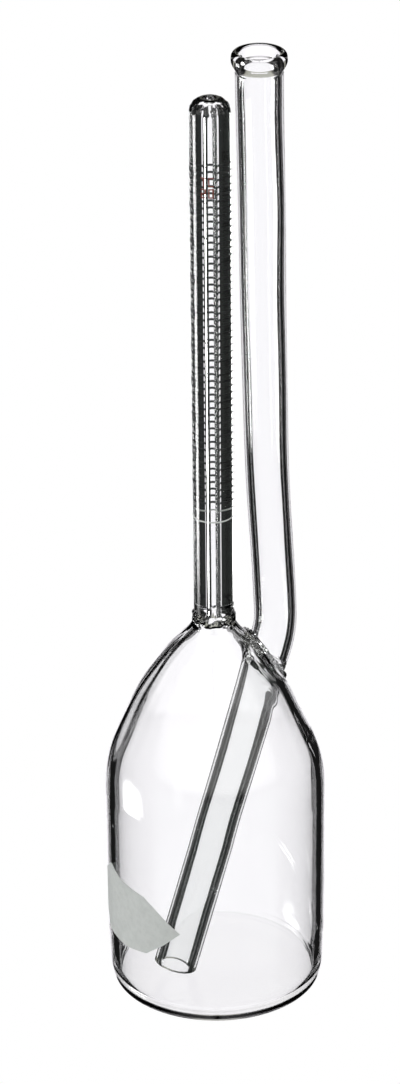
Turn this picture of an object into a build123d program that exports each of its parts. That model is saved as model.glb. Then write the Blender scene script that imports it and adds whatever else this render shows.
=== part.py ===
# Double-neck fat test bottle of fused clear glass: a flat-based bulb, a graduated capillary
# neck on its axis and a wide filling tube beside it that runs on inside as a slanted dip tube.
# Units are millimetres, +Z is up, the base stands on Z = 0 and the filling tube lies in the XZ plane.
from build123d import *
from math import sin, cos, radians, atan2, degrees, hypot
import os

os.makedirs("parts", exist_ok=True)

total_height = 165.0

# bulb
bulb_wall = 1.1
base_thickness = 1.3
base_flat_r = 16.4
floor_r = 15.3
heel_top_z = 2.3
heel_r = 18.0
barrel_low_r = 18.32
barrel_low_z = 10.0
barrel_top_r = 18.4
barrel_top_z = 35.6
shoulder_points = [(18.16, 39.6), (17.35, 43.2), (15.95, 46.7), (14.15, 50.8), (12.25, 54.9), (9.8, 58.9),
                   (6.75, 63.0), (4.4, 65.6)]
bulb_top_r = 3.5
bulb_top_z = 67.0

# weld between bulb and capillary neck
weld_r = 3.62
weld_top_z = 69.2
weld_bore_r = 2.3

# capillary neck
neck_r = 3.3
neck_top_z = 158.9
neck_bore_r = 0.78
neck_edge_round = 2.2
mouth_r = 0.9
mouth_depth = 0.6

# scale on the neck: fifty lines above the zero line
zero_z = 86.66
first_tick_z = 88.07
tick_pitch = 1.2037
tick_count = 50
tick_height = 0.38
mark_thickness = 0.03
minor_arc = (-27, 146)
fifth_arc = (-27, 154)
numeral_azimuth = 174
numeral_height = 1.5
numeral_width = 0.8
numeral_stroke = 0.2
zero_line_height = 0.25
sign_azimuth = -126
sign_z = (145.2, 143.3)

# filling tube: (centre x, centre z, outer radius, lean of the tube in degrees)
tube_stations = [(8.74, 161.6, 3.85, 0.0), (8.80, 155.7, 3.82, 1.0), (9.10, 140.3, 3.80, 1.0),
                 (9.28, 124.7, 3.72, 1.2), (9.62, 107.0, 3.66, 1.2), (9.86, 96.0, 3.60, 2.0),
                 (10.24, 87.0, 3.56, 3.6), (10.66, 80.5, 3.54, 3.8), (11.04, 74.5, 3.54, 3.0),
                 (11.36, 68.0, 3.55, 1.0), (11.30, 63.6, 3.56, -6.0)]
tube_wall = 0.9
seal_x = 10.1
seal_z = 59.0
seal_tilt = 40.0
seal_major = 3.85
seal_minor = 3.6

# lip on the filling tube
lip_r = 4.5
lip_bottom_z = 162.9
mouth_bore_r = 2.92
collar_r = 3.98

# dip tube
dip_r = 3.62
dip_wall = 0.95
dip_end_x = -7.9
dip_end_z = 3.15
ring_seal_r = 4.1

# marking spot: (azimuth in degrees, height)
spot_corners = [(-205, 20.6), (-190, 24.2), (-179, 23.2), (-164, 22.7), (-158, 22.4), (-151, 20.9),
                (-136.4, 17.2), (-146, 14.3), (-157, 11.6), (-172.5, 10.8), (-194, 10.8), (-204, 13.6)]
spot_azimuth = -171
spot_thickness = 0.04


def save(shape, node):
    shape.label = node
    export_step(shape, "parts/" + node + ".step")


def turned(edges, x=0.0):
    with BuildPart() as made:
        with BuildSketch(Plane.XZ):
            with BuildLine():
                for edge in edges():
                    add(edge)
            make_face()
        revolve(axis=Axis.Z)
    return made.part.moved(Location((x, 0, 0)))


def turned_polygon(points, x=0.0):
    with BuildPart() as made:
        with BuildSketch(Plane.XZ):
            with BuildLine():
                Polyline(*points, close=True)
            make_face()
        revolve(axis=Axis.Z)
    return made.part.moved(Location((x, 0, 0)))


def bulb_solid(inset, floor_z):
    """Solid of revolution inside the bulb's outer surface by the inset."""
    shoulder = []
    ring = [(barrel_top_r, barrel_top_z)] + shoulder_points + [(bulb_top_r, bulb_top_z)]
    for i in range(len(shoulder_points)):
        a = ring[i]
        b = ring[i + 2]
        length = hypot(b[0] - a[0], b[1] - a[1])
        normal = ((b[1] - a[1]) / length, (a[0] - b[0]) / length)
        p = shoulder_points[i]
        shoulder.append((p[0] - inset * normal[0], p[1] - inset * normal[1]))
    with BuildPart() as made:
        with BuildSketch(Plane.XZ):
            with BuildLine():
                flat_end = (base_flat_r - inset * 0.9, floor_z)
                heel_end = (heel_r - inset, heel_top_z + floor_z * 0.7)
                top = (barrel_top_r - inset, barrel_top_z)
                lip = (bulb_top_r - inset * 0.95, bulb_top_z)
                Line((0, floor_z), flat_end)
                TangentArc(flat_end, heel_end, tangent=(1, 0))
                low = (barrel_low_r - inset, barrel_low_z)
                Line(heel_end, low)
                Line(low, top)
                Spline(top, *shoulder, lip, tangents=((0.0, 1.0), (-0.35, 1.0)))
                Line(lip, (0, bulb_top_z))
                Line((0, bulb_top_z), (0, floor_z))
            make_face()
        revolve(axis=Axis.Z)
    return made.part


def leaning_cylinder(radius, low, high):
    """Round bar along the dip tube's axis, from low to high above the dip tube's end."""
    end = Plane(origin=(dip_end_x, 0, dip_end_z), x_dir=(dip_axis[1], 0, -dip_axis[0]),
                z_dir=(dip_axis[0], 0, dip_axis[1]))
    with BuildPart() as made:
        with BuildSketch(end.offset(low)):
            Circle(radius)
        extrude(amount=high - low)
    return made.part


def tube_solid(inset):
    sections = []
    for x, z, r, lean in tube_stations:
        plane = Plane(origin=(x, 0, z), x_dir=(cos(radians(lean)), 0, sin(radians(lean))),
                      z_dir=(-sin(radians(lean)), 0, cos(radians(lean))))
        with BuildSketch(plane) as section:
            Circle(r - inset)
        sections.append(section.sketch)
    with BuildSketch(seal_plane) as section:
        Ellipse(seal_major - inset, seal_minor - inset)
    sections.append(section.sketch)
    return loft(sections)


def wrapped_mark(radius, azimuth, outline, thickness):
    """Thin patch on a cylinder: the outline is drawn on the tangent plane at the azimuth."""
    a = radians(azimuth)
    plane = Plane(origin=(0, 0, 0), x_dir=(-sin(a), cos(a), 0), z_dir=(cos(a), sin(a), 0))
    with BuildPart() as made:
        with BuildSketch(plane):
            outline()
        extrude(amount=radius + 5)
    return made.part


def shell(radius, thickness, low, high):
    return (Cylinder(radius + thickness, high - low, align=(Align.CENTER, Align.CENTER, Align.MIN))
            - Cylinder(radius, high - low, align=(Align.CENTER, Align.CENTER, Align.MIN))).moved(
                Location((0, 0, low)))


def arc_mark(radius, thickness, start, end, low, height):
    with BuildPart() as made:
        with BuildSketch(Plane.XZ):
            with Locations((radius + thickness / 2, low + height / 2)):
                Rectangle(thickness, height)
        revolve(axis=Axis.Z, revolution_arc=end - start)
    return made.part.rotate(Axis.Z, start)


# the dip tube's axis, from its lower end up to the ring seal
dip_length = hypot(seal_x - dip_end_x, seal_z - dip_end_z)
dip_axis = ((seal_x - dip_end_x) / dip_length, (seal_z - dip_end_z) / dip_length)
tilt = radians(seal_tilt)
seal_plane = Plane(origin=(seal_x, 0, seal_z), x_dir=(cos(tilt), 0, -sin(tilt)), z_dir=(sin(tilt), 0, cos(tilt)))

# ring seal: thick glass collar on the dip tube's axis, cut square to the seal plane on top
# and parallel to the shoulder inside the bulb
with BuildPart() as above_seal:
    with BuildSketch(seal_plane):
        Rectangle(30, 30)
    extrude(amount=20)
inner_plane = Plane(origin=(seal_x - 1.6, 0, seal_z - 3.2), x_dir=(cos(tilt), 0, -sin(tilt)),
                    z_dir=(sin(tilt), 0, cos(tilt)))
with BuildPart() as below_seal:
    with BuildSketch(inner_plane):
        Rectangle(30, 30)
    extrude(amount=-80)
seal_blank = leaning_cylinder(ring_seal_r, dip_length - 12, dip_length + 8) - above_seal.part - below_seal.part
ring_seal = seal_blank - leaning_cylinder(dip_r - dip_wall, dip_length - 14, dip_length + 10)
save(ring_seal, "ring_seal")

# bulb
bottle_body = bulb_solid(0.0, 0.0) - bulb_solid(bulb_wall, base_thickness)
bottle_body -= seal_blank
bottle_body -= leaning_cylinder(dip_r - dip_wall, dip_length - 6, dip_length + 8)
bottle_body = max(bottle_body.solids(), key=lambda s: s.volume)
floor_disc = Cylinder(floor_r, base_thickness, align=(Align.CENTER, Align.CENTER, Align.MIN))
bottle_wall = max((bottle_body - floor_disc).solids(), key=lambda s: s.volume)
save(Compound(children=[bottle_wall, floor_disc]), "bottle_body")

# dip tube, cut back where the ring seal takes over
dip_tube = leaning_cylinder(dip_r, 0, dip_length + 6) - leaning_cylinder(dip_r - dip_wall, -1, dip_length + 8)
with BuildPart() as over_inner:
    with BuildSketch(inner_plane):
        Rectangle(60, 60)
    extrude(amount=40)
dip_tube = dip_tube - over_inner.part - bottle_body
dip_tube = max(dip_tube.solids(), key=lambda s: s.volume)
save(dip_tube, "dip_tube")

# weld and capillary neck
neck_weld = turned_polygon([(weld_bore_r, bulb_top_z), (bulb_top_r - 0.02, bulb_top_z), (weld_r, bulb_top_z + 0.55),
                            (weld_r, weld_top_z - 0.6), (neck_r, weld_top_z), (neck_bore_r, weld_top_z)])
save(neck_weld, "neck_weld")


def neck_edges():
    r0 = neck_r - neck_edge_round
    z0 = neck_top_z - neck_edge_round
    return [Edge.make_line((neck_bore_r, weld_top_z), (neck_r, weld_top_z)),
            Edge.make_line((neck_r, weld_top_z), (neck_r, z0)),
            Edge.make_three_point_arc((neck_r, z0), (r0 + neck_edge_round * cos(radians(45)),
                                      z0 + neck_edge_round * sin(radians(45))), (r0, neck_top_z)),
            Edge.make_line((r0, neck_top_z), (mouth_r, neck_top_z)),
            Edge.make_line((mouth_r, neck_top_z), (neck_bore_r, neck_top_z - mouth_depth)),
            Edge.make_line((neck_bore_r, neck_top_z - mouth_depth), (neck_bore_r, weld_top_z))]


measuring_neck = turned(neck_edges)
save(measuring_neck, "measuring_neck")

# filling tube
filling_tube = tube_solid(0.0) - tube_solid(tube_wall) - bottle_body
filling_tube = max(filling_tube.solids(), key=lambda s: s.volume)
save(filling_tube, "filling_tube")

# collar and rolled lip
tube_top = tube_stations[0]
lip_collar = turned_polygon([(mouth_bore_r, tube_top[1]), (tube_top[2], tube_top[1]), (collar_r, tube_top[1] + 0.4),
                             (collar_r, lip_bottom_z - 0.3), (tube_top[2] - 0.1, lip_bottom_z),
                             (mouth_bore_r, lip_bottom_z)], tube_top[0])
save(lip_collar, "lip_collar")


def lip_edges():
    low = lip_bottom_z
    top = total_height
    return [Edge.make_line((mouth_bore_r, low), (tube_top[2] - 0.1, low)),
            Edge.make_three_point_arc((tube_top[2] - 0.1, low), (4.36, low + 0.42), (lip_r, low + 1.05)),
            Edge.make_three_point_arc((lip_r, low + 1.05), (4.2, top - 0.24), (3.7, top)),
            Edge.make_three_point_arc((3.7, top), (3.2, top - 0.3), (mouth_bore_r, top - 0.8)),
            Edge.make_line((mouth_bore_r, top - 0.8), (mouth_bore_r, low))]


filling_lip = turned(lip_edges, tube_top[0])
save(filling_lip, "filling_lip")

# scale marks, fired on the outside of the neck
minor_ticks = []
fifth_ticks = []
for i in range(1, tick_count + 1):
    low = first_tick_z + (i - 1) * tick_pitch - tick_height / 2
    if i % 5 == 0:
        fifth_ticks.append(arc_mark(neck_r, mark_thickness, fifth_arc[0], fifth_arc[1], low, tick_height))
    else:
        minor_ticks.append(arc_mark(neck_r, mark_thickness, minor_arc[0], minor_arc[1], low, tick_height))
save(Compound(children=minor_ticks), "scale_ticks")
save(Compound(children=fifth_ticks), "scale_fifth_ticks")
save(shell(neck_r, mark_thickness, zero_z - zero_line_height / 2, zero_z + zero_line_height / 2), "zero_line")

# numerals built from straight strokes: (x0, y0, x1, y1) in units of the digit box
strokes = {"a": (0, 2, 1, 2), "b": (1, 1, 1, 2), "c": (1, 0, 1, 1), "d": (0, 0, 1, 0), "e": (0, 0, 0, 1),
           "f": (0, 1, 0, 2), "g": (0, 1, 1, 1), "h": (0.5, 0, 0.5, 2)}
digits = {"0": "abcdef", "1": "bc", "2": "abged", "3": "abgcd", "4": "fgbc", "5": "afgcd", "C": "afed", "T": "ah"}


def draw_text(text, low, width, height, stroke, gap):
    start = -(len(text) * width + (len(text) - 1) * gap) / 2
    for k in range(len(text)):
        x0 = start + k * (width + gap) + stroke / 2
        w = width - stroke
        h = (height - stroke) / 2
        for name in digits[text[k]]:
            sx, sy, ex, ey = strokes[name]
            cx = x0 + w * (sx + ex) / 2
            cy = low + stroke / 2 + h * (sy + ey) / 2
            with Locations((cx, cy)):
                Rectangle(w * abs(ex - sx) + stroke, h * abs(ey - sy) + stroke)


numerals = []
for i in range(0, tick_count + 1, 5):
    low = first_tick_z + (i - 1) * tick_pitch - numeral_height / 2
    if i == 0:
        low = zero_z + zero_line_height
    blank = wrapped_mark(neck_r, numeral_azimuth,
                         lambda: draw_text(str(i), low, numeral_width, numeral_height, numeral_stroke, 0.3),
                         mark_thickness)
    band = shell(neck_r, mark_thickness, low - 1, low + numeral_height + 1)
    numerals += (blank & band).solids()
save(Compound(children=numerals), "scale_numerals")

sign = []
for text, low in zip(("TC", "20"), sign_z):
    blank = wrapped_mark(neck_r, sign_azimuth,
                         lambda: draw_text(text, low, 0.85, 1.6, 0.22, 0.35), mark_thickness)
    sign += (blank & shell(neck_r, mark_thickness, low - 1, low + 3)).solids()
save(Compound(children=sign), "temperature_sign")


# marking spot: thin fired patch on the barrel
def spot_outline():
    points = []
    for azimuth, z in spot_corners:
        points.append((barrel_top_r * sin(radians(azimuth - spot_azimuth)), z))
    Polygon(*points, align=None)


def barrel_r(z):
    return barrel_low_r + (barrel_top_r - barrel_low_r) * (z - barrel_low_z) / (barrel_top_z - barrel_low_z)


spot_shell = turned_polygon([(barrel_r(10), 10), (barrel_r(10) + spot_thickness, 10),
                             (barrel_r(28) + spot_thickness, 28), (barrel_r(28), 28)])
marking_spot = wrapped_mark(barrel_top_r, spot_azimuth, spot_outline, spot_thickness) & spot_shell
save(max(marking_spot.solids(), key=lambda s: s.volume), "marking_spot")
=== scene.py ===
import bpy
import bmesh
import math
import numpy as np
from mathutils import Matrix, Vector, noise


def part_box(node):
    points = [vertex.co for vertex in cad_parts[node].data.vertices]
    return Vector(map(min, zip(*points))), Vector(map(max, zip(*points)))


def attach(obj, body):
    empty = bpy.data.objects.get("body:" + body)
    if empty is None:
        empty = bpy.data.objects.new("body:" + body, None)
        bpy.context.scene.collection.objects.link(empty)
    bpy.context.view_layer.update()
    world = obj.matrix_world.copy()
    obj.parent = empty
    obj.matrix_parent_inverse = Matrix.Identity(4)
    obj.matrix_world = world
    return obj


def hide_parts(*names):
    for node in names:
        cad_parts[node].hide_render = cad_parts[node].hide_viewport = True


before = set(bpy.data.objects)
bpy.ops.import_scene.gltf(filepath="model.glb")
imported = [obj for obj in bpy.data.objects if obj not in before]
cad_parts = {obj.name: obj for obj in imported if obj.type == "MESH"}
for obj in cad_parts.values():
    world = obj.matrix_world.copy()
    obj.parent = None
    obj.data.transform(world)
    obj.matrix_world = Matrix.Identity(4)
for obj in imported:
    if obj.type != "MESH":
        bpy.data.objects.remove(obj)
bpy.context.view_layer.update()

mm = 0.001  # shapes are worked out in millimetres and stored in metres
scene = bpy.context.scene

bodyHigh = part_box("bottle_body")[1]
neckLow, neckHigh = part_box("measuring_neck")
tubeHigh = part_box("filling_tube")[1]
lipLow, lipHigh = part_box("filling_lip")


def ramp(value, start, width):  # 0 up to start, then evenly up to 1
    return min(1.0, max(0.0, (value - start) / width))


def turnAngles(count):
    return np.arange(count) * 2 * math.pi / count


def smoothCurve(points, count):  # natural cubic through points with any number of values, even steps
    knots = np.array(points, float)
    along = np.concatenate([[0], np.cumsum(np.linalg.norm(np.diff(knots[:, :2], axis=0), axis=1))])
    gaps = np.diff(along)
    last = len(knots) - 1
    system = np.zeros((last + 1, last + 1))
    turns = np.zeros((last + 1, knots.shape[1]))
    system[0, 0] = system[-1, -1] = 1
    for i in range(1, last):
        system[i, i - 1:i + 2] = gaps[i - 1], 2 * (gaps[i - 1] + gaps[i]), gaps[i]
        turns[i] = 6 * ((knots[i + 1] - knots[i]) / gaps[i] - (knots[i] - knots[i - 1]) / gaps[i - 1])
    bends = np.linalg.solve(system, turns)
    steps = np.linspace(0, along[-1], count)
    k = np.clip(np.searchsorted(along, steps) - 1, 0, last - 1)
    past = (steps - along[k])[:, None]
    gap = gaps[k][:, None]
    left = gap - past
    curve = (bends[k] * left ** 3 + bends[k + 1] * past ** 3) / (6 * gap)
    curve += (knots[k] / gap - bends[k] * gap / 6) * left
    curve += (knots[k + 1] / gap - bends[k + 1] * gap / 6) * past
    return curve


def lineCurve(start, end, count):
    return [tuple(start[k] + (end[k] - start[k]) * i / (count - 1) for k in (0, 1)) for i in range(count)]


def arcCurve(centre, radius, start, end, count):  # start and end in degrees
    angles = [math.radians(start + (end - start) * i / (count - 1)) for i in range(count)]
    return [(centre[0] + radius * math.cos(a), centre[1] + radius * math.sin(a)) for a in angles]


def spin(profile, segments, x=0.0):  # rings of a turned surface round an upright axis at x
    angle = turnAngles(segments)
    return [np.stack([x + r * np.cos(angle), r * np.sin(angle), np.full(segments, z)], 1) for r, z in profile]


def lumpAt(p, width, height, shift=0.0):  # smooth unevenness with lumps of this width and height
    return noise.noise(Vector((p[0] / width + shift, p[1] / width, p[2] / height)))


def wavy(ring, size, amount, shift):  # slow hand-worked unevenness, pushed along the ring's radius
    out = ring.copy()
    centre = ring.mean(axis=0)
    for i, p in enumerate(ring):
        d = p - centre
        lump = lumpAt((p[0] + shift, p[1], p[2]), size, size * 1.8)
        out[i] = p + d / max(np.linalg.norm(d), 1e-6) * lump * amount
    return out


class Shell:  # gathers strips of rings into one mesh
    def __init__(self):
        self.verts = []
        self.faces = []

    def strip(self, rings, skip=None):
        start = len(self.verts)
        n = len(rings[0])
        for ring in rings:
            self.verts.extend([tuple(p * mm) for p in ring])
        for i in range(len(rings) - 1):
            for j in range(n):
                if skip and skip(i, j):
                    continue
                here, above = start + i * n, start + (i + 1) * n
                k = (j + 1) % n
                self.faces.append((here + j, here + k, above + k, above + j))

    def fan(self, ring, point, upward):
        start = len(self.verts)
        self.verts.extend([tuple(p * mm) for p in ring])
        self.verts.append(tuple(np.array(point) * mm))
        n = len(ring)
        for j in range(n):
            a, b = (j, (j + 1) % n) if upward else ((j + 1) % n, j)
            self.faces.append((start + a, start + b, start + n))

    def build(self, name, material, sharp=40, mergeGap=2e-6):
        mesh = bpy.data.meshes.new(name)
        mesh.from_pydata(self.verts, [], self.faces)
        obj = bpy.data.objects.new(name, mesh)
        scene.collection.objects.link(obj)
        bm = bmesh.new()
        bm.from_mesh(mesh)
        bmesh.ops.remove_doubles(bm, verts=bm.verts, dist=mergeGap)
        loose = [v for v in bm.verts if not v.link_faces]
        bmesh.ops.delete(bm, geom=loose, context="VERTS")
        bm.to_mesh(mesh)
        bm.free()
        mesh.polygons.foreach_set("use_smooth", [True] * len(mesh.polygons))
        mesh.set_sharp_from_angle(angle=math.radians(sharp))
        mesh.materials.append(material)
        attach(obj, "root")
        return obj


def nodeGroup(name, inputs, outputs):
    group = bpy.data.node_groups.new(name, "ShaderNodeTree")
    for label, value in inputs:
        socket = group.interface.new_socket(name=label, in_out="INPUT", socket_type="NodeSocketFloat")
        socket.default_value = value
    for label in outputs:
        group.interface.new_socket(name=label, in_out="OUTPUT", socket_type="NodeSocketFloat")
    return group, group.nodes.new("NodeGroupInput").outputs, group.nodes.new("NodeGroupOutput").inputs


def setOrLink(tree, socket, value):
    if isinstance(value, (int, float)):
        socket.default_value = value
    else:
        tree.links.new(value, socket)


def mathNode(tree, operation, a, b, clamp=False):
    node = tree.nodes.new("ShaderNodeMath")
    node.operation = operation
    node.use_clamp = clamp
    setOrLink(tree, node.inputs[0], a)
    setOrLink(tree, node.inputs[1], b)
    return node.outputs[0]


def noiseNode(tree, vector, scale, detail, rough=0.5):
    node = tree.nodes.new("ShaderNodeTexNoise")
    node.inputs["Detail"].default_value = detail
    node.inputs["Roughness"].default_value = rough
    tree.links.new(vector, node.inputs["Vector"])
    setOrLink(tree, node.inputs["Scale"], scale)
    return node.outputs[0]


def rangeNode(tree, value, low, high, toLow=0.0, toHigh=1.0):
    node = tree.nodes.new("ShaderNodeMapRange")
    tree.links.new(value, node.inputs["Value"])
    for label, v in (("From Min", low), ("From Max", high), ("To Min", toLow), ("To Max", toHigh)):
        node.inputs[label].default_value = v
    return node.outputs[0]


def groupNode(tree, group, values):
    node = tree.nodes.new("ShaderNodeGroup")
    node.node_tree = group
    for label, v in values.items():
        node.inputs[label].default_value = v
    return node.outputs


def bumpTo(tree, height, normalSocket, distance, strength):
    bump = tree.nodes.new("ShaderNodeBump")
    bump.inputs["Distance"].default_value = distance
    bump.inputs["Strength"].default_value = strength
    tree.links.new(height, bump.inputs["Height"])
    tree.links.new(bump.outputs[0], normalSocket)


# marks of glass working: draw lines along the tube, slow waves, tiny seeds and handling haze
glassMarks = {"waveScale": 160.0, "lineScale": 1400.0, "lineStretch": 0.03, "lineShare": 0.25,
              "seedScale": 420.0, "seedEdge": (0.05, 0.12), "seedRarity": 0.955,
              "smearScale": 90.0, "smearEdge": (0.5, 0.72)}
glassWork, glassIn, glassOut = nodeGroup(
    "glass working marks", [("Waves", 1.0), ("Draw Lines", 1.0), ("Seeds", 1.0), ("Haze", 0.02)],
    ["Height", "Haze"])
place = glassWork.nodes.new("ShaderNodeTexCoord").outputs["Object"]
stretch = glassWork.nodes.new("ShaderNodeMapping")
stretch.inputs["Scale"].default_value = (1.0, 1.0, glassMarks["lineStretch"])
glassWork.links.new(place, stretch.inputs["Vector"])
waveNoise = noiseNode(glassWork, place, glassMarks["waveScale"], 1.0)
waves = mathNode(glassWork, "MULTIPLY", waveNoise, glassIn["Waves"])
lineNoise = noiseNode(glassWork, stretch.outputs[0], glassMarks["lineScale"], 1.0)
lines = mathNode(glassWork, "MULTIPLY", lineNoise, glassIn["Draw Lines"])
lines = mathNode(glassWork, "MULTIPLY", lines, glassMarks["lineShare"])
cells = glassWork.nodes.new("ShaderNodeTexVoronoi")
cells.inputs["Scale"].default_value = glassMarks["seedScale"]
glassWork.links.new(place, cells.inputs["Vector"])
chance = glassWork.nodes.new("ShaderNodeSeparateColor")
glassWork.links.new(cells.outputs["Color"], chance.inputs[0])
seedDot = rangeNode(glassWork, cells.outputs["Distance"], *glassMarks["seedEdge"], 1.0, 0.0)
seedPick = mathNode(glassWork, "GREATER_THAN", chance.outputs[0], glassMarks["seedRarity"])
seeds = mathNode(glassWork, "MULTIPLY", mathNode(glassWork, "MULTIPLY", seedDot, seedPick), glassIn["Seeds"])
height = mathNode(glassWork, "ADD", mathNode(glassWork, "ADD", waves, lines), seeds)
glassWork.links.new(height, glassOut["Height"])
smearNoise = noiseNode(glassWork, place, glassMarks["smearScale"], 4.0, 0.65)
smear = rangeNode(glassWork, smearNoise, *glassMarks["smearEdge"])
glassWork.links.new(mathNode(glassWork, "MULTIPLY", smear, glassIn["Haze"]), glassOut["Haze"])

# fired enamel: grain of the fired powder, pinholes and thin places
enamelMarks = {"patchScale": 900.0, "patchEdge": (0.35, 0.75), "pinholeEdge": (0.55, 0.8),
               "pinholeShare": 0.35, "roughShare": 0.25, "bump": 0.00002, "bumpStrength": 0.6}
enamelWork, enamelIn, enamelOut = nodeGroup(
    "fired enamel", [("Grain", 4000.0), ("Thin Places", 0.3), ("Roughness", 0.5)],
    ["Shade", "Roughness", "Height"])
place = enamelWork.nodes.new("ShaderNodeTexCoord").outputs["Object"]
grain = noiseNode(enamelWork, place, enamelIn["Grain"], 3.0, 0.6)
patchy = rangeNode(enamelWork, noiseNode(enamelWork, place, enamelMarks["patchScale"], 2.0),
                   *enamelMarks["patchEdge"])
thinShade = mathNode(enamelWork, "MULTIPLY", patchy, enamelIn["Thin Places"])
pinholes = mathNode(enamelWork, "MULTIPLY", rangeNode(enamelWork, grain, *enamelMarks["pinholeEdge"]),
                    enamelMarks["pinholeShare"])
enamelWork.links.new(mathNode(enamelWork, "ADD", thinShade, pinholes, clamp=True), enamelOut["Shade"])
roughGrain = mathNode(enamelWork, "MULTIPLY", grain, enamelMarks["roughShare"])
enamelWork.links.new(mathNode(enamelWork, "ADD", roughGrain, enamelIn["Roughness"], clamp=True),
                     enamelOut["Roughness"])
enamelWork.links.new(grain, enamelOut["Height"])

glassLook = {"ior": 1.47, "tint": (0.99, 0.996, 0.991, 1)}
glassKinds = {  # waves, draw lines, seeds, haze, bump distance
    "blown glass": (0.25, 0.0, 0.25, 0.012, 0.00004),
    "drawn glass": (0.15, 0.5, 0.12, 0.008, 0.00002),
    "worked glass": (0.9, 0.2, 0.4, 0.015, 0.00005),
    "fire polished glass": (2.0, 0.0, 0.6, 0.5, 0.00012),
}


def clearGlass(name):
    *marks, bumpDistance = glassKinds[name]
    mat = bpy.data.materials.new(name)
    mat.use_nodes = True
    tree = mat.node_tree
    glass = tree.nodes["Principled BSDF"].inputs
    glass["Base Color"].default_value = glassLook["tint"]
    glass["IOR"].default_value = glassLook["ior"]
    glass["Transmission Weight"].default_value = 1.0
    glass["Metallic"].default_value = 0.0
    work = groupNode(tree, glassWork, dict(zip(("Waves", "Draw Lines", "Seeds", "Haze"), marks)))
    bumpTo(tree, work["Height"], glass["Normal"], bumpDistance, 1.0)
    tree.links.new(work["Haze"], glass["Roughness"])
    return mat


enamelKinds = {  # full colour, thin colour, grain, thin places, roughness
    "scale enamel": ((0.015, 0.015, 0.017), (0.09, 0.10, 0.095), 5000.0, 0.35, 0.45),
    "sign enamel": ((0.20, 0.045, 0.03), (0.42, 0.17, 0.12), 5000.0, 0.45, 0.45),
    "white enamel": ((0.86, 0.88, 0.86), (0.62, 0.66, 0.63), 4000.0, 0.4, 0.4),
    "spot enamel": ((0.75, 0.775, 0.76), (0.60, 0.625, 0.61), 2600.0, 0.45, 0.6),
}


def enamel(name):
    full, thin, *marks = enamelKinds[name]
    mat = bpy.data.materials.new(name)
    mat.use_nodes = True
    tree = mat.node_tree
    coat = tree.nodes["Principled BSDF"].inputs
    work = groupNode(tree, enamelWork, dict(zip(("Grain", "Thin Places", "Roughness"), marks)))
    blend = tree.nodes.new("ShaderNodeMix")
    blend.data_type = "RGBA"
    blend.inputs["A"].default_value = (*full, 1)
    blend.inputs["B"].default_value = (*thin, 1)
    tree.links.new(work["Shade"], blend.inputs["Factor"])
    tree.links.new(blend.outputs["Result"], coat["Base Color"])
    tree.links.new(work["Roughness"], coat["Roughness"])
    bumpTo(tree, work["Height"], coat["Normal"], enamelMarks["bump"], enamelMarks["bumpStrength"])
    return mat


blownGlass, drawnGlass, workedGlass, firedGlass = (clearGlass(n) for n in glassKinds)
scaleEnamel, signEnamel, whiteEnamel, spotEnamel = (enamel(n) for n in enamelKinds)
print("materials done")

bulb = {
    "wall": 1.35, "floor": 1.3, "segments": 192,
    "flatRadius": 16.4, "heelRadius": 18.0, "heelTop": 2.3,
    "lowRadius": 18.32, "lowTop": 10.0, "barrelTop": 35.6,
    "topRadius": 3.5, "throat": 2.3, "evenRadius": 4, "sealFoot": 45,
    "bead": 0.18, "beadFoot": 1.8, "beadHeight": 0.9,  # low swelling round the inside of the heel
    "lean": 0.25, "leanBearing": 153.0, "leanFoot": 38, "leanHeight": 26,  # the shoulder's fuller side
    "waves": 0.05, "waveWidth": 15, "waveHeight": 17, "barrelShare": 0.12,  # uneven inside of the wall
    "streaks": 5.5, "streakCount": 6.0, "streakHeight": 24, "streakFocus": 12,
}
# where the wall's unevenness sets in, and over what stretch: above the heel, below the neck (measured
# downwards), round the seal, and then by height for the full waves and for the streaks
wallFades = {"heel": (6, 8), "neck": (-64, 4), "seal": (6.5, 4), "waves": (34, 6), "streaks": (40, 8)}
shoulderPoints = [(18.16, 39.6), (17.35, 43.2), (15.95, 46.7), (14.15, 50.8), (12.25, 54.9), (9.8, 58.9),
                  (6.75, 63.0), (4.4, 65.6)]
barrelRadius = bodyHigh[0] / mm
bulbTop = bodyHigh[2] / mm


def bulbOuter():  # radius and height from the middle of the underside up to the neck
    flat, heelTop, heelRadius = bulb["flatRadius"], bulb["heelTop"], bulb["heelRadius"]
    barrelTop, neckJoint = bulb["barrelTop"], (bulb["topRadius"], bulbTop)
    heel = smoothCurve([(flat, 0.0), (flat + 1.1, 0.38), (heelRadius - 0.25, 1.2), (heelRadius, heelTop)], 14)
    barrel = lineCurve((heelRadius, heelTop), (bulb["lowRadius"], bulb["lowTop"]), 10)
    barrel += lineCurve((bulb["lowRadius"], bulb["lowTop"]), (barrelRadius, barrelTop), 28)[1:]
    top = smoothCurve([(barrelRadius - 0.05, barrelTop - 3), (barrelRadius, barrelTop)] + shoulderPoints
                      + [neckJoint], 80)
    top = [tuple(p) for p in top if p[1] > barrelTop + 0.3]
    underside = [(0.02, 0.0), (5.0, 0.0), (10.0, 0.0)]
    return underside + [tuple(p) for p in heel] + barrel[1:] + top[:-1] + [neckJoint]


def insetProfile(profile, wall, floor):  # the inside of the glass, square to the outside
    out = []
    for i, (r, z) in enumerate(profile):
        a, b = profile[max(i - 1, 0)], profile[min(i + 1, len(profile) - 1)]
        length = math.hypot(b[0] - a[0], b[1] - a[1])
        outR, outZ = (b[1] - a[1]) / length, (a[0] - b[0]) / length
        thickness = floor if z < 0.01 else wall
        out.append((max(r - outR * thickness, 0.0), z - outZ * thickness))
    return out


def heelBead(z):  # how far the bead stands into the bulb
    return bulb["bead"] * math.sin(math.pi * ramp(z, bulb["beadFoot"], bulb["beadHeight"])) ** 2


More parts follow.
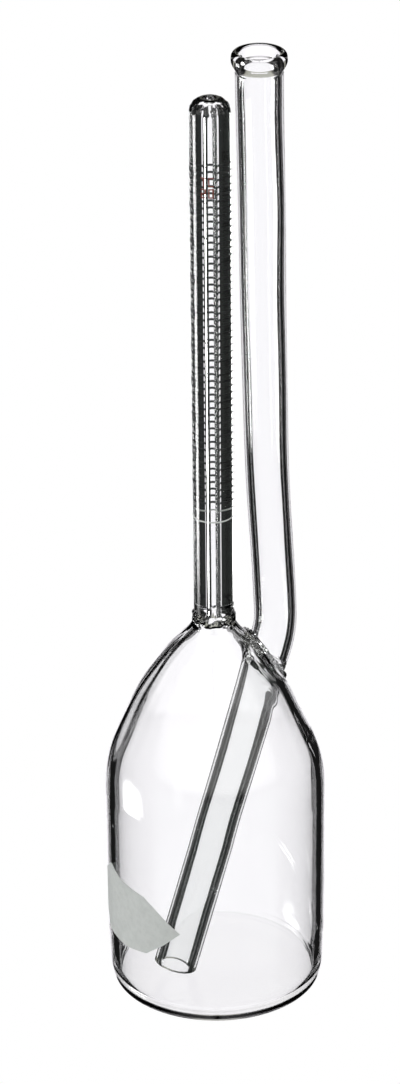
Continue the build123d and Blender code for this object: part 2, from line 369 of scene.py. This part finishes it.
outerProfile = bulbOuter()
innerProfile = [p for p in insetProfile(outerProfile, bulb["wall"], bulb["floor"]) if p[1] < bulbTop - 0.9]
innerProfile += [(bulb["throat"] + 0.25, bulbTop - 0.5), (bulb["throat"], bulbTop)]
innerProfile = [(r - heelBead(z), z) for r, z in innerProfile]


def radiusAt(profile, z, heelClear=8):  # the wall's radius at a height above the heel
    wall = [p for p in profile if p[1] > heelClear]
    return float(np.interp(z, [p[1] for p in wall], [p[0] for p in wall]))


seal = {
    "x": 10.1, "z": 59.0, "tilt": 40.0, "major": 3.85, "minor": 3.6, "segments": 144,
    "outer": (4.3, 5.7), "inner": (3.85, 4.8), "foot": (3.95, 4.0),  # radii away from the neck and by it
    "drop": 2.6, "skirt": 1.8,  # how far the worked glass runs down the dip tube
    "build": 0.35, "ridge": 0.34, "ripples": 3.6, "rippleSize": 2.1,
    "pinch": 0.22, "lumps": 0.16, "lumpWidth": 1.3, "lumpHeight": 1.1,
}
dip = {"radius": 3.62, "wall": 1.1, "endX": -7.9, "endZ": 3.15, "rows": 70, "edge": 0.08,
       "flare": 0.9, "flareLength": 5.0, "flareBearing": -27.0,
       "waves": 0.09, "waveSize": 9.0, "waveShift": 36.5}
dipEnd = np.array([dip["endX"], 0, dip["endZ"]])
dipTop = np.array([seal["x"], 0, seal["z"]])
dipLength = float(np.linalg.norm(dipTop - dipEnd))
dipAxis = (dipTop - dipEnd) / np.linalg.norm(dipTop - dipEnd)
dipSide = np.array([dipAxis[2], 0, -dipAxis[0]])
across = np.array([0, 1.0, 0])


def dipRing(radius, along):  # circle round the dip tube's axis; along is measured down from the seal
    angle = turnAngles(seal["segments"])
    centre = dipTop - dipAxis * along
    return centre + radius * (np.outer(np.cos(angle), dipSide) + np.outer(np.sin(angle), across))


def flared(ring):  # near the seal the dip tube opens a little towards the shoulder
    angle = turnAngles(len(ring)) - math.radians(dip["flareBearing"])
    along = -((ring - dipTop) @ dipAxis)
    fade = np.exp(-np.maximum(0, along - seal["drop"]) / dip["flareLength"])
    return ring + np.outer(dip["flare"] * ((1 + np.cos(angle)) / 2) ** 2 * fade, dipSide)


def shoulderLoop(profile, radii):  # where a tube on the dip tube's axis meets the shoulder
    byNeck = ((1 - np.cos(turnAngles(seal["segments"]))) / 2) ** 2
    ring = dipTop + (dipRing(1.0, 0) - dipTop) * (radii[0] + (radii[1] - radii[0]) * byNeck)[:, None]
    out = []
    for p in ring:
        low, high = -22.0, 14.0  # inside and outside the shoulder, halved until they meet
        for _ in range(40):
            middle = (low + high) / 2
            q = p + dipAxis * middle
            if math.hypot(q[0], q[1]) < radiusAt(profile, q[2]):
                low = middle
            else:
                high = middle
        out.append(p + dipAxis * low)
    return np.array(out)


def sealEllipse(inset):  # the foot of the filling tube, where it meets the seal
    tilt = math.radians(seal["tilt"])
    angle = turnAngles(seal["segments"])
    side = np.array([math.cos(tilt), 0, -math.sin(tilt)])
    ellipse = dipTop + np.outer(np.cos(angle) * (seal["major"] - inset), side)
    return ellipse + np.outer(np.sin(angle) * (seal["minor"] - inset), across)


def holedStrip(shell, profile, loop, inward, unroll=11.5, holeAbove=40):  # unroll is mm of girth to a radian
    n = bulb["segments"]
    grid = np.array(spin(profile, n))
    rows = len(grid)
    loopTurn, loopZ = np.arctan2(loop[:, 1], loop[:, 0]), loop[:, 2]
    turnMiddle, zMiddle = loopTurn.mean(), loopZ.mean()
    bearing = np.arctan2(loopZ - zMiddle, (loopTurn - turnMiddle) * unroll)
    reach = np.hypot(loopZ - zMiddle, (loopTurn - turnMiddle) * unroll)
    order = np.argsort(bearing)
    bearing, reach = bearing[order], reach[order]
    bearing = np.concatenate([bearing - 2 * math.pi, bearing, bearing + 2 * math.pi])
    reach = np.concatenate([reach] * 3)
    z = grid[:, :, 2]
    turn = (np.tile(turnAngles(n), (rows, 1)) + math.pi) % (2 * math.pi) - math.pi
    dz, du = z - zMiddle, (turn - turnMiddle) * unroll
    rim = np.interp(np.arctan2(dz, du), bearing, reach)
    distance = np.hypot(dz, du)
    inside = (distance < rim) & (z > holeAbove)
    touched = inside | np.roll(inside, -1, axis=1)
    kept = ~(touched[:-1] | touched[1:])
    for i in range(1, rows - 1):
        for j in range(n):
            around = (kept[i, j], kept[i - 1, j], kept[i, j - 1], kept[i - 1, j - 1])
            if inside[i, j] or all(around) or not any(around):
                continue
            f = rim[i, j] / distance[i, j]  # a corner beside the hole moves onto its rim
            newZ, newTurn = zMiddle + dz[i, j] * f, turnMiddle + du[i, j] * f / unroll
            newR = radiusAt(profile, newZ)
            grid[i, j] = (newR * math.cos(newTurn), newR * math.sin(newTurn), newZ)
    if inward:
        grid, kept = grid[::-1], kept[::-1]
    shell.strip(list(grid), lambda i, j: not kept[i, j])


def leanOut(p):  # the hand-worked shoulder is fuller on one side
    amount = math.sin(math.pi * ramp(p[2], bulb["leanFoot"], bulb["leanHeight"])) ** 2 * bulb["lean"]
    bearing = math.atan2(p[1], p[0]) - math.radians(bulb["leanBearing"])
    f = 1 + amount * math.cos(bearing) / max(math.hypot(p[0], p[1]), 1e-6)
    return np.array([p[0] * f, p[1] * f, p[2]])


def unevenWall(shell):  # slow waves, and upright streaks at two sides of the shoulder; even round the seal
    for i, v in enumerate(shell.verts):
        x, y, z = (c / mm for c in v)
        r = math.hypot(x, y)
        if z < wallFades["heel"][0] or r < bulb["evenRadius"]:
            continue
        clear = ramp(math.hypot(x - seal["x"], y), *wallFades["seal"]) if z > bulb["sealFoot"] else 1.0
        clear *= ramp(z, *wallFades["heel"]) * ramp(-z, *wallFades["neck"])
        push = lumpAt((x, y, z), bulb["waveWidth"], bulb["waveHeight"])
        push *= bulb["barrelShare"] + (1 - bulb["barrelShare"]) * ramp(z, *wallFades["waves"])
        sideways = math.cos(math.atan2(y, x) - math.radians(bulb["leanBearing"])) ** bulb["streakFocus"]
        around = bulb["streakCount"]
        streak = lumpAt((x / r * around, y / r * around, z), 1.0, bulb["streakHeight"])
        push += bulb["streaks"] * ramp(z, *wallFades["streaks"]) * sideways * streak
        f = 1 + bulb["waves"] * clear * push / r
        shell.verts[i] = (v[0] * f, v[1] * f, v[2])


outerLoop = shoulderLoop(outerProfile, seal["outer"])
innerLoop = shoulderLoop(innerProfile, seal["inner"])
body = Shell()
holedStrip(body, outerProfile, outerLoop, False)
body.fan(spin([outerProfile[0]], bulb["segments"])[0], (0, 0, 0), False)
inner = Shell()
holedStrip(inner, innerProfile, innerLoop, True)
inner.fan(spin([innerProfile[0]], bulb["segments"])[0], (0, 0, bulb["floor"]), True)
unevenWall(inner)
offset = len(body.verts)
body.verts += inner.verts
body.faces += [tuple(v + offset for v in f) for f in inner.faces]
body.verts = [tuple(leanOut(np.array(v) / mm) * mm) for v in body.verts]
outerLoop = np.array([leanOut(p) for p in outerLoop])
innerLoop = np.array([leanOut(p) for p in innerLoop])
bulbObject = body.build("bottle_body_glass", blownGlass)
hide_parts("bottle_body")
print("bulb done", len(body.faces))

weld = {"radius": 3.62, "segments": 160,
        "lumps": 0.24, "lumpWidth": 0.95, "lumpHeight": 0.8, "fineSize": 0.45}
neckRadius = neckHigh[0] / mm
neckBase = neckLow[2] / mm
neckTop = neckHigh[2] / mm
neckBore = 0.78
weldOutside = smoothCurve([(bulb["topRadius"], bulbTop), (weld["radius"] - 0.02, bulbTop + 0.45),
                           (weld["radius"], bulbTop + 1.1), (weld["radius"] - 0.1, neckBase - 0.4),
                           (neckRadius, neckBase)], 26)
weldInside = smoothCurve([(neckBore, neckBase), (0.83, neckBase - 0.7), (1.2, neckBase - 1.45),
                          (bulb["throat"], bulbTop)], 16)
weldRings = spin(weldOutside, weld["segments"])
for i in range(1, len(weldRings) - 1):
    fade = math.sin(math.pi * i / (len(weldRings) - 1)) ** 0.6
    for p in weldRings[i]:
        lump = lumpAt(p, weld["lumpWidth"], weld["lumpHeight"])
        lump += 0.5 * lumpAt(p, weld["fineSize"], weld["fineSize"], 9)
        p[:2] *= 1 + (weld["lumps"] * (lump - 0.25) * fade) / math.hypot(p[0], p[1])
weldShell = Shell()
weldShell.strip(weldRings)
weldShell.strip(spin(weldInside, weld["segments"]))
weldObject = weldShell.build("neck_weld_glass", workedGlass, 60)
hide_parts("neck_weld")

neck = {"round": 2.2, "mouth": 0.9, "mouthDepth": 0.6, "dimples": 0.12, "dimpleSize": 0.55, "segments": 160}
domeFoot = neckTop - neck["round"]
boreTop = neckTop - neck["mouthDepth"] - 0.7
side = lineCurve((neckRadius, neckBase), (neckRadius, domeFoot), 60)
edge = arcCurve((neckRadius - neck["round"], domeFoot), neck["round"], 0, 90, 24)
funnel = smoothCurve([(neckRadius - neck["round"], neckTop), (neck["mouth"], neckTop - 0.12),
                      (neckBore + 0.03, neckTop - neck["mouthDepth"]), (neckBore, boreTop)], 14)
bore = lineCurve((neckBore, boreTop), (neckBore, neckBase), 40)
neckProfile = side + edge[1:] + [tuple(p) for p in funnel[1:]] + bore[1:]
neckRings = spin(neckProfile, neck["segments"])
for (r, z), ring in zip(neckProfile, neckRings):  # small dimples in the rounded top
    if z > domeFoot and r > neck["mouth"] + 0.1:
        for j, p in enumerate(ring):
            fade = math.sin(math.pi * (ring[0][2] - neckTop + neck["round"]) / neck["round"])
            lump = lumpAt(p, neck["dimpleSize"], neck["dimpleSize"])
            ring[j] = p - np.array([p[0], p[1], 2.0]) / 3.5 * neck["dimples"] * fade * (0.5 + lump)
neckShell = Shell()
neckShell.strip(neckRings)
neckObject = neckShell.build("measuring_neck_glass", drawnGlass)
neckObject.data.materials.append(firedGlass)  # the rounded top was melted smooth and kept a patchy bloom
for face in neckObject.data.polygons:
    x, y, z = (c / mm for c in face.center)
    if z > neckTop - neck["round"] * 0.95 and math.hypot(x, y) > neck["mouth"] + 0.05:
        face.material_index = 1
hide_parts("measuring_neck")

lip = {"x": 8.74, "mouth": 2.92, "foot": 4.33, "outside": 4.5, "segments": 128}
tube = {"wall": 0.9, "segments": 96, "rows": 190, "waves": 0.10, "waveSize": 9.0, "waveShift": 21.9}
tubeTop = tubeHigh[2] / mm
stations = [  # x, z, radius along x, radius along y, lean
    (lip["x"], tubeTop, 3.85, 3.85, 0.0), (8.80, 155.7, 3.82, 3.82, 1.0), (9.10, 140.3, 3.80, 3.80, 1.0),
    (9.28, 124.7, 3.72, 3.72, 1.2), (9.62, 107.0, 3.66, 3.66, 1.2), (9.86, 96.0, 3.60, 3.60, 2.0),
    (10.24, 87.0, 3.56, 3.56, 3.6), (10.66, 80.5, 3.54, 3.54, 3.8), (11.04, 74.5, 3.54, 3.54, 3.0),
    (11.36, 68.0, 3.55, 3.55, 1.0), (11.30, 63.6, 3.56, 3.56, -6.0),
    (seal["x"], seal["z"], seal["major"], seal["minor"], -seal["tilt"]),
]


def tubeRings(inset):
    path = smoothCurve(stations, tube["rows"])
    path[0], path[-1] = stations[0], stations[-1]
    angle = turnAngles(tube["segments"])
    rings = []
    for x, z, wide, deep, lean in path:
        t = math.radians(lean)
        sideways = np.array([math.cos(t), 0, math.sin(t)])
        rings.append(np.array([x, 0, z]) + np.outer(np.cos(angle) * (wide - inset), sideways)
                     + np.outer(np.sin(angle) * (deep - inset), across))
    return rings


tubeShell = Shell()
outerTube = tubeRings(0.0)
innerTube = tubeRings(tube["wall"])
lowest = len(innerTube) - 6
for i in range(3, lowest):
    fade = min(1, (i - 3) / 10, (lowest - i) / 10)
    innerTube[i] = wavy(innerTube[i], tube["waveSize"], tube["waves"] * fade, tube["waveShift"])
tubeShell.strip(outerTube[::-1])
tubeShell.strip(innerTube)
tubeObject = tubeShell.build("filling_tube_glass", drawnGlass)
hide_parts("filling_tube")

lipBase = lipLow[2] / mm
lipTop = lipHigh[2] / mm
collarOutside = smoothCurve([(3.85, tubeTop), (3.8, tubeTop + 0.3), (3.98, tubeTop + 0.65),
                             (4.2, lipBase - 0.25), (lip["foot"], lipBase)], 20)
collarInside = [(lip["mouth"], lipBase), (lip["mouth"], lipBase - 0.6), (2.95, tubeTop)]
collarShell = Shell()
collarShell.strip(spin(collarOutside, tube["segments"], lip["x"]))
collarShell.strip(spin(collarInside, tube["segments"], lip["x"]))
collarObject = collarShell.build("lip_collar_glass", drawnGlass, 60)
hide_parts("lip_collar")

lipCurve = smoothCurve([(lip["foot"], lipBase), (4.47, lipBase + 0.45), (4.49, lipBase + 1.0),
                        (4.28, lipTop - 0.3), (3.72, lipTop), (3.22, lipTop - 0.28),
                        (lip["mouth"], lipTop - 0.9), (lip["mouth"], lipBase)], 60)
lipCurve[-1] = (lip["mouth"], lipBase)
lipCurve = [(min(r, lip["outside"]), min(z, lipTop)) for r, z in lipCurve]
lipShell = Shell()
lipShell.strip(spin(lipCurve, lip["segments"], lip["x"]))
lipObject = lipShell.build("filling_lip_glass", drawnGlass, 60)
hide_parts("filling_lip")


def loft(start, end, steps):
    return [start + (end - start) * i / steps for i in range(steps)] + [end]


def ridged(rings, swell, ridges, shift, width=1.6, height=0.7, count=3.0):  # soft ridges run round the rings
    out = []
    for i, ring in enumerate(rings):
        t = i / (len(rings) - 1)
        fade = math.sin(math.pi * t)
        middle = ring.mean(axis=0)
        new = ring.copy()
        for j, p in enumerate(ring):
            d = (p - middle) / np.linalg.norm(p - middle)
            lump = lumpAt(p, width, height, shift)
            lump += 0.6 * math.sin((t * count + 0.25 * lump) * 2 * math.pi)
            new[j] = p + d * (swell * fade + ridges * lump * min(1, fade * 3))
        out.append(new)
    return out


def sealApron():  # the worked glass that climbs from the shoulder to the foot of the filling tube
    foot = np.array([leanOut(p) for p in shoulderLoop(outerProfile, seal["foot"])])
    rings = loft(outerLoop, foot, 16)
    size = seal["rippleSize"]
    for i, ring in enumerate(rings):
        t = i / (len(rings) - 1)
        for j, p in enumerate(ring):
            r = math.hypot(p[0], p[1])
            away = np.array([p[0] / r * 0.66, p[1] / r * 0.66, 0.75])
            lump = lumpAt(p, size, size)
            ripple = math.sin((t * seal["ripples"] + 0.55 * lump) * 2 * math.pi)
            lift = seal["build"] * t ** 0.7 + seal["ridge"] * ripple * min(1, t * 5) * (0.6 + lump)
            rings[i][j] = p + away * lift
    return rings


def sealWall(start):  # from the apron's top to the foot of the filling tube
    rings = loft(start, sealEllipse(0), 16)
    for i, ring in enumerate(rings):
        t = i / (len(rings) - 1)
        middle = ring.mean(axis=0)
        pinch = -seal["pinch"] * math.sin(math.pi * t) ** 2
        for j, p in enumerate(ring):
            d = (p - middle) / np.linalg.norm(p - middle)
            lump = lumpAt(p, seal["lumpWidth"], seal["lumpHeight"], 4)
            rings[i][j] = p + d * (pinch + seal["lumps"] * lump * math.sin(math.pi * t))
    return rings


def sealCollar(end):  # inside the bulb the seal runs out smoothly onto the dip tube
    rings = loft(innerLoop, end, 20)
    offAxis = innerLoop - dipTop - np.outer((innerLoop - dipTop) @ dipAxis, dipAxis)
    excess = np.linalg.norm(offAxis, axis=1) - dip["radius"]
    outward = dipRing(1.0, 0) - dipTop
    for i, ring in enumerate(rings):
        t = i / (len(rings) - 1)
        rings[i] = ring - outward * (excess * t * (1 - t))[:, None]
    return ridged(rings, 0.06, 0.05, 7)


# the seal ends lower on the side away from the neck
sealReach = np.logaddexp(seal["drop"], -((innerLoop - dipTop) @ dipAxis) + seal["skirt"])
dipStart = dipRing(dip["radius"], 0) - np.outer(sealReach, dipAxis)
dipBore = dip["radius"] - dip["wall"]
apron = sealApron()
sealShell = Shell()
sealShell.strip(apron + sealWall(apron[-1])[1:])
sealShell.strip(sealCollar(flared(dipStart))[::-1])
sealBore = loft(sealEllipse(tube["wall"]), flared(dipRing(dipBore, seal["drop"])), 14)
sealShell.strip(ridged(sealBore, -0.08, 0.05, 11))
sealObject = sealShell.build("ring_seal_glass", workedGlass, 75)
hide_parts("ring_seal")

rows = dip["rows"]
straightLength = dipLength - seal["drop"] - dip["edge"]
outerDip = [flared(ring) for ring in loft(dipStart, dipRing(dip["radius"], dipLength - dip["edge"]), rows)]
innerDip = [flared(dipRing(dipBore, seal["drop"] + straightLength * i / rows)) for i in range(rows + 1)]
for i in range(4, rows - 2):
    fade = min(1, (i - 4) / 8, (rows - 2 - i) / 6)
    innerDip[i] = wavy(innerDip[i], dip["waveSize"], dip["waves"] * fade, dip["waveShift"])
endFace = [dipRing(dip["radius"] - 0.07, dipLength), dipRing(dipBore + 0.07, dipLength)]
dipShell = Shell()
dipShell.strip((outerDip + endFace + innerDip[::-1])[::-1])
dipObject = dipShell.build("dip_tube_glass", drawnGlass, 30)
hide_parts("dip_tube")
print("tubes done")

markFinish = {"scale_ticks": scaleEnamel, "scale_fifth_ticks": scaleEnamel, "scale_numerals": scaleEnamel,
              "temperature_sign": signEnamel, "zero_line": whiteEnamel, "marking_spot": spotEnamel}
for node, mat in markFinish.items():
    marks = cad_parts[node].data
    marks.materials.clear()
    marks.materials.append(mat)
print("marks done")

view = {"place": (-0.29997, -0.58873, 0.41371), "right": (0.890555, -0.45479, -0.008835),
        "up": (0.211324, 0.396452, 0.893402), "slide": 0.00015, "lens": 150.42}
camData = bpy.data.cameras.new("camera")
camera = bpy.data.objects.new("camera", camData)
scene.collection.objects.link(camera)
rightAxis, upAxis = Vector(view["right"]).normalized(), Vector(view["up"])
upAxis = (upAxis - rightAxis * upAxis.dot(rightAxis)).normalized()
backAxis = rightAxis.cross(upAxis)
turn = Matrix((rightAxis, upAxis, backAxis)).transposed().to_4x4()
camera.matrix_world = Matrix.Translation(Vector(view["place"]) + rightAxis * view["slide"]) @ turn
camData.lens = view["lens"]
camData.sensor_width = 36
camData.clip_start = 0.05
camData.clip_end = 60
scene.camera = camera

# soft light cards stand round the object and turn with the camera; clear glass shows them as its light
# bands, and the directions that have no card stay nearly black; each card has its bearing from straight
# behind to the left, its elevation, the softness of its sides, foot and head, its colour and its strength
cards = {
    "bright_field": ((-17.4, 17.4), (-52, -2), (1.0, 3.0, 3.0), (0.985, 0.963, 1.0), 1.11),
    "upper_glow": ((-11, 11), (-5, 36), (4.0, 3.0, 8.0), (1.0, 0.985, 0.87), 0.42),
    "floor_glow": ((-180, 180), (-89, -50), (0.01, 0.01, 6.0), (0.985, 0.965, 1.0), 1.12),
    "strip_box": ((66, 98), (-28.0, -10), (11.0, 1.6, 9.0), (1.0, 1.0, 1.0), 15.0),
    "low_fill": ((100, 260), (-40, 6), (15.0, 10.0, 10.0), (0.90, 1.0, 0.95), 0.24),
    "high_fill": ((95, 265), (4, 72), (15.0, 10.0, 10.0), (1.0, 1.0, 0.98), 1.2),
    "top_card": ((-60, 60), (56, 86), (20.0, 8.0, 8.0), (1.0, 1.0, 1.0), 4.0),
}
studio = {"reach": 20.0, "middle": (0.0, 0.0, 0.082), "room": 0.009, "floorHalf": 4, "floorLevel": -0.0004}
ahead = Vector((-backAxis[0], -backAxis[1], 0)).normalized()
toLeft = Vector((-ahead[1], ahead[0], 0))
toCamera = camera.matrix_world.inverted()


def softStep(distance, width):
    t = ramp(distance, 0, width)
    return t * t * (3 - 2 * t)


def glowMaterial(name, colour):  # plain emission in place of the Principled BSDF
    mat = bpy.data.materials.new(name)
    mat.use_nodes = True
    tree = mat.node_tree
    tree.nodes.remove(tree.nodes["Principled BSDF"])
    shine = tree.nodes.new("ShaderNodeEmission")
    shine.inputs["Color"].default_value = (*colour, 1)
    tree.links.new(shine.outputs[0], tree.nodes["Material Output"].inputs["Surface"])
    return mat, tree, shine


def glowCard(name, bearing, elevation, softness, colour, strength, steps=48):
    points, faces, glow = [], [], []
    for i in range(steps + 1):
        e = elevation[0] + (elevation[1] - elevation[0]) * i / steps
        for j in range(steps + 1):
            a = bearing[0] + (bearing[1] - bearing[0]) * j / steps
            ra, re = math.radians(a), math.radians(e)
            d = (ahead * math.cos(ra) + toLeft * math.sin(ra)) * math.cos(re) + Vector((0, 0, math.sin(re)))
            points.append(tuple(toCamera @ (Vector(studio["middle"]) + d * studio["reach"])))
            glow.append(softStep(min(a - bearing[0], bearing[1] - a), softness[0])
                        * softStep(e - elevation[0], softness[1]) * softStep(elevation[1] - e, softness[2]))
            if i < steps and j < steps:
                k = i * (steps + 1) + j
                faces.append((k, k + 1, k + steps + 2, k + steps + 1))
    mesh = bpy.data.meshes.new(name)
    mesh.from_pydata(points, [], faces)
    layer = mesh.attributes.new("glow", "FLOAT", "POINT")
    layer.data.foreach_set("value", np.array(glow, np.float32))
    card = bpy.data.objects.new(name, mesh)
    scene.collection.objects.link(card)
    mat, tree, shine = glowMaterial(name, colour)
    fade = tree.nodes.new("ShaderNodeAttribute")
    fade.attribute_name = "glow"
    tree.links.new(mathNode(tree, "MULTIPLY", fade.outputs["Fac"], strength), shine.inputs["Strength"])
    mesh.materials.append(mat)
    card.parent = camera
    card.visible_camera = False
    card.visible_shadow = False


for name, values in cards.items():
    glowCard(name, *values)

# the floor is plain white and seen directly only, so that the glass shows the cards
half, level = studio["floorHalf"], studio["floorLevel"]
floorCorners = [(-half, -half, level), (half, -half, level), (half, half, level), (-half, half, level)]
floorMesh = bpy.data.meshes.new("floor")
floorMesh.from_pydata(floorCorners, [], [(0, 1, 2, 3)])
floor = bpy.data.objects.new("floor", floorMesh)
scene.collection.objects.link(floor)
floorMesh.materials.append(glowMaterial("pale floor", (1, 1, 1))[0])
floor.visible_diffuse = floor.visible_glossy = floor.visible_transmission = floor.visible_shadow = False

world = bpy.data.worlds.new("world")  # white where it is seen directly, nearly black for the glass
scene.world = world
world.use_nodes = True
worldTree = world.node_tree
rays = worldTree.nodes.new("ShaderNodeLightPath")
mix = worldTree.nodes.new("ShaderNodeMix")
mix.data_type = "RGBA"
worldTree.links.new(rays.outputs["Is Camera Ray"], mix.inputs["Factor"])
mix.inputs["A"].default_value = (studio["room"],) * 3 + (1,)
mix.inputs["B"].default_value = (1, 1, 1, 1)
worldTree.links.new(mix.outputs["Result"], worldTree.nodes["Background"].inputs["Color"])
scene.view_settings.view_transform = "Standard"
print("stage done")
